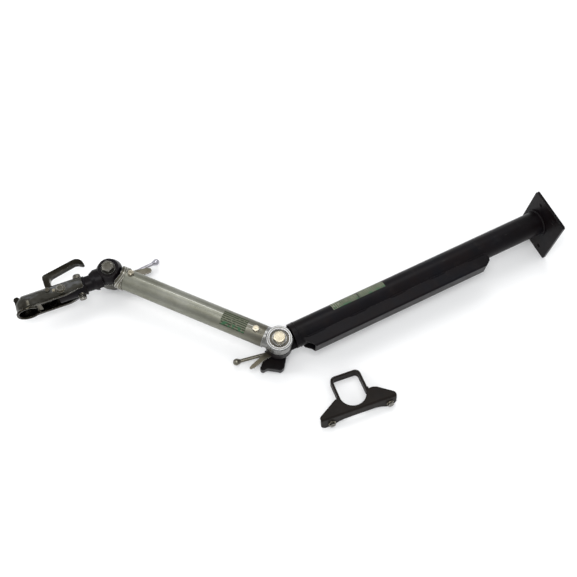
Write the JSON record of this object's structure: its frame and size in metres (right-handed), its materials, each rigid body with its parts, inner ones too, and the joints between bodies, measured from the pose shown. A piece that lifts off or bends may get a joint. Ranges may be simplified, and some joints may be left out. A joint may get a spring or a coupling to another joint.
{
  "type": "articulated drawbar",
  "caption": "Height-adjustable towing drawbar with a flanged beam, a toothed-disc link, a 50 mm ball coupling with release handle, clamp levers and a loose tube saddle.",
  "frame": {"origin": "where the beam tube's axis meets the flange's mounting face", "axes": "+X out of the mounting face, towards the vehicle that carries the bar; +Z along the pivot bolts, towards their heads; +Y the side that is up in use; the bar lies on its side"},
  "size_m": [1.4432, 0.7436, 0.186],
  "materials": {
    "black_enamel": "semi-gloss black enamel",
    "black_casting": "black-coated casting",
    "saddle_enamel": "satin black enamel",
    "zinc_tube": "zinc plated",
    "zinc_pressing": "zinc plated, handled",
    "fastener_zinc": "zinc plated, slightly yellow",
    "spring_steel": "oiled",
    "sticker": "printed film"
  },
  "bodies": {
    "beam": {"flange_plate": "black_enamel", "beam_tube": "black_enamel", "keel_channel": "black_enamel", "beam_head": "black_enamel", "beam_labels": "sticker", "rear_pivot_bolt": "fastener_zinc", "rear_lock_blade": "fastener_zinc", "rear_thrust_washer": "fastener_zinc", "saddle_plate": "saddle_enamel", "saddle_strap": "saddle_enamel", "saddle_bolts": "fastener_zinc", "saddle_nuts": "fastener_zinc", "saddle_washers": "fastener_zinc"},
    "link": {"link_tube": "zinc_tube", "link_rear_head": "zinc_tube", "link_front_head": "zinc_tube", "link_cross_bolts": "fastener_zinc", "link_cross_washers": "fastener_zinc", "link_label": "sticker", "rear_head_washer": "fastener_zinc", "front_pivot_bolt": "fastener_zinc", "front_lock_blade": "fastener_zinc", "front_thrust_washer": "fastener_zinc"},
    "hitch": {"shank": "black_enamel", "front_head_washer": "fastener_zinc", "coupling_shell": "zinc_pressing", "coupling_upright_bolt": "fastener_zinc", "coupling_cross_bolt": "fastener_zinc", "coupling_nuts": "fastener_zinc", "coupling_washers": "fastener_zinc", "handle_pin": "fastener_zinc", "handle_spring": "spring_steel", "shell_rivets": "fastener_zinc"},
    "rear_lever": {"rear_lever_nut": "black_casting", "rear_lever_bar": "fastener_zinc"},
    "front_lever": {"front_lever_nut": "black_casting", "front_lever_bar": "fastener_zinc"},
    "handle": {"release_handle": "zinc_pressing"},
    "jaw": {"ball_jaw": "zinc_pressing"}
  },
  "joints": [
    {"name": "rear_pivot", "type": "hinge", "parent": "beam", "child": "link", "pos_m": [-0.842, 0, 0], "axis": [0, 0, 1], "range_deg": [-20, 120]},
    {"name": "front_pivot", "type": "hinge", "parent": "link", "child": "hitch", "pos_m": [-1.16982, 0.39068, 0], "axis": [0, 0, 1], "range_deg": [-115, 25]},
    {"name": "rear_lever_turn", "type": "hinge", "parent": "beam", "child": "rear_lever", "pos_m": [-0.842, 0, -0.06], "axis": [0, 0, 1], "range_deg": [-360, 0]},
    {"name": "front_lever_turn", "type": "hinge", "parent": "link", "child": "front_lever", "pos_m": [-1.16982, 0.39068, -0.06], "axis": [0, 0, 1], "range_deg": [-360, 0]},
    {"name": "handle_lift", "type": "hinge", "parent": "hitch", "child": "handle", "pos_m": [-1.34134, 0.40368, 0], "axis": [0, 0, 1], "range_deg": [0, 40], "stiffness_Nm_per_rad": 1.5},
    {"name": "jaw_slide", "type": "slide", "parent": "hitch", "child": "jaw", "axis": [0.9962, -0.0872, 0], "range_m": [0, 0.0066]}
  ],
  "couplings": [
    {"joint": "jaw_slide", "follows": "handle_lift", "m_per_rad": 0.0093}
  ]
}
